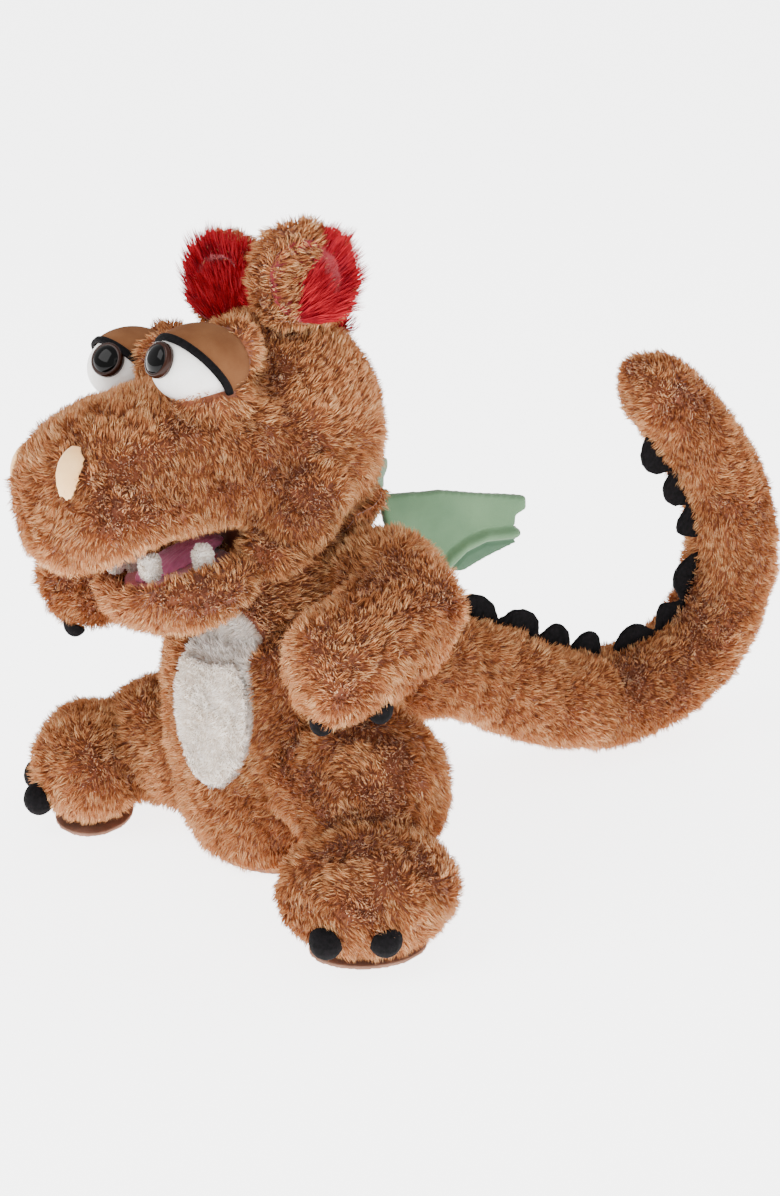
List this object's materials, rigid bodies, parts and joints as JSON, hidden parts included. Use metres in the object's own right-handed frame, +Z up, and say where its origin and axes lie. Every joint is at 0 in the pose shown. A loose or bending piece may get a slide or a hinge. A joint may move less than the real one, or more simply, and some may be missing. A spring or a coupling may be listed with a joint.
{
  "type": "plush dragon hand puppet",
  "caption": "Seated plush dragon hand puppet with a hand sleeve from the back into head and jaw, open mouth, stuffed limbs, velour wings and a long curled tail.",
  "frame": {"origin": "middle of the round base panel that the puppet sits on, at the level of the table", "axes": "+Z up, the puppet faces -Y, its left side is +X and its tail runs towards +Y"},
  "size_m": [0.3323, 0.5296, 0.3904],
  "materials": {
    "brown_plush": "long soft clumped pile",
    "stuffing": "polyester fibre",
    "white_plush": "short soft pile",
    "sleeve_lining": "smooth woven lining",
    "mouth_board": "stiff fibre board",
    "mouth_velour": "short velvety pile",
    "tongue_cord": "fine rib corduroy",
    "nose_velour": "short pile velour",
    "eye_plastic": "polished",
    "suede": "soft matt suede cloth",
    "red_plush": "long straight pile",
    "black_felt": "matt felt",
    "wing_velour": "short velour"
  },
  "bodies": {
    "torso": {"torso_front_cover": "brown_plush", "torso_back_cover": "brown_plush", "torso_base_panel": "brown_plush", "torso_stuffing": "stuffing", "belly_patch": "white_plush", "hand_sleeve": "sleeve_lining", "sleeve_hem": "sleeve_lining"},
    "neck": {"neck_collar": "brown_plush"},
    "head": {"crown_cover": "brown_plush", "muzzle_cover": "brown_plush", "head_stuffing": "stuffing", "upper_mouth_board": "mouth_board", "upper_mouth_lining": "mouth_velour", "upper_tooth_left": "white_plush", "upper_tooth_right": "white_plush", "nostril_left": "nose_velour", "nostril_right": "nose_velour", "eye_white_left": "white_plush", "eye_white_right": "white_plush", "pupil_left": "eye_plastic", "pupil_right": "eye_plastic", "eyelid_left": "suede", "eyelid_right": "suede", "mane": "red_plush"},
    "jaw": {"jaw_cover": "brown_plush", "lower_mouth_board": "mouth_board", "lower_mouth_lining": "mouth_velour", "tongue": "tongue_cord", "lower_tooth_left": "white_plush", "lower_tooth_right": "white_plush"},
    "ear_left": {"ear_back_left": "brown_plush", "ear_lining_left": "red_plush"},
    "ear_right": {"ear_back_right": "brown_plush", "ear_lining_right": "red_plush"},
    "arm_left": {"arm_cover_left": "brown_plush", "arm_stuffing_left": "stuffing", "paw_claw_1_left": "black_felt", "paw_claw_2_left": "black_felt"},
    "arm_right": {"arm_cover_right": "brown_plush", "arm_stuffing_right": "stuffing", "paw_claw_1_right": "black_felt", "paw_claw_2_right": "black_felt"},
    "leg_left": {"leg_cover_left": "brown_plush", "leg_stuffing_left": "stuffing", "sole_left": "suede", "toe_claw_1_left": "black_felt", "toe_claw_2_left": "black_felt"},
    "leg_right": {"leg_cover_right": "brown_plush", "leg_stuffing_right": "stuffing", "sole_right": "suede", "toe_claw_1_right": "black_felt", "toe_claw_2_right": "black_felt"},
    "wing_left": {"wing_left": "wing_velour"},
    "wing_right": {"wing_right": "wing_velour"},
    "tail_base": {"tail_base": "brown_plush", "crest_base": "black_felt"},
    "tail_middle": {"tail_middle": "brown_plush", "crest_middle": "black_felt"},
    "tail_tip": {"tail_tip": "brown_plush", "crest_tip": "black_felt"}
  },
  "joints": [
    {"name": "head_turn", "type": "hinge", "parent": "torso", "child": "neck", "pos_m": [0, 0, 0.268], "axis": [0, 0, 1], "range_deg": [-11, 14], "stiffness_Nm_per_rad": 6},
    {"name": "head_nod", "type": "hinge", "parent": "neck", "child": "head", "pos_m": [0, 0, 0.268], "axis": [0.9318, -0.2849, 0.2249], "range_deg": [-12, 3], "stiffness_Nm_per_rad": 8},
    {"name": "jaw_open", "type": "hinge", "parent": "head", "child": "jaw", "pos_m": [0.00088, -0.03791, 0.21636], "axis": [0.9318, -0.2849, 0.2249], "range_deg": [-1.5, 12], "stiffness_Nm_per_rad": 2},
    {"name": "ear_flop_left", "type": "hinge", "parent": "head", "child": "ear_left", "pos_m": [0.0307, -0.0052, 0.3388], "axis": [0.9318, -0.2849, 0.2249], "range_deg": [-4, 4], "stiffness_Nm_per_rad": 0.1},
    {"name": "ear_flop_right", "type": "hinge", "parent": "head", "child": "ear_right", "pos_m": [-0.055, 0.021, 0.3181], "axis": [0.9318, -0.2849, 0.2249], "range_deg": [-4, 4], "stiffness_Nm_per_rad": 0.1},
    {"name": "arm_swing_left", "type": "hinge", "parent": "torso", "child": "arm_left", "pos_m": [0.06, 0.008, 0.186], "axis": [-1, 0, 0], "range_deg": [-3, 50], "stiffness_Nm_per_rad": 2},
    {"name": "arm_swing_right", "type": "hinge", "parent": "torso", "child": "arm_right", "pos_m": [-0.06, 0.008, 0.186], "axis": [-1, 0, 0], "range_deg": [-3, 28], "stiffness_Nm_per_rad": 2},
    {"name": "leg_swing_left", "type": "hinge", "parent": "torso", "child": "leg_left", "pos_m": [0.058, -0.018, 0.073], "axis": [-1, 0, 0], "range_deg": [-10, 12], "stiffness_Nm_per_rad": 6},
    {"name": "leg_swing_right", "type": "hinge", "parent": "torso", "child": "leg_right", "pos_m": [-0.058, -0.02, 0.052], "axis": [-1, 0, 0], "range_deg": [-10, 12], "stiffness_Nm_per_rad": 6},
    {"name": "wing_flap_left", "type": "hinge", "parent": "torso", "child": "wing_left", "pos_m": [0.025, 0.066, 0.195], "axis": [0.0467, 0.187, -0.9812], "range_deg": [-6, 25], "stiffness_Nm_per_rad": 0.1},
    {"name": "wing_flap_right", "type": "hinge", "parent": "torso", "child": "wing_right", "pos_m": [-0.025, 0.066, 0.195], "axis": [0.0467, -0.187, 0.9812], "range_deg": [-6, 25], "stiffness_Nm_per_rad": 0.1},
    {"name": "tail_swing", "type": "hinge", "parent": "torso", "child": "tail_base", "pos_m": [0.005, 0.072, 0.092], "axis": [0, 0, 1], "range_deg": [-10, 10], "stiffness_Nm_per_rad": 8},
    {"name": "tail_curl_middle", "type": "hinge", "parent": "tail_base", "child": "tail_middle", "pos_m": [0.06014, 0.24172, 0.03646], "axis": [0.9511, -0.309, 0], "range_deg": [-6, 4], "stiffness_Nm_per_rad": 12},
    {"name": "tail_curl_tip", "type": "hinge", "parent": "tail_middle", "child": "tail_tip", "pos_m": [0.09223, 0.34046, 0.13832], "axis": [0.9511, -0.309, 0], "range_deg": [-8, 4], "stiffness_Nm_per_rad": 6}
  ]
}
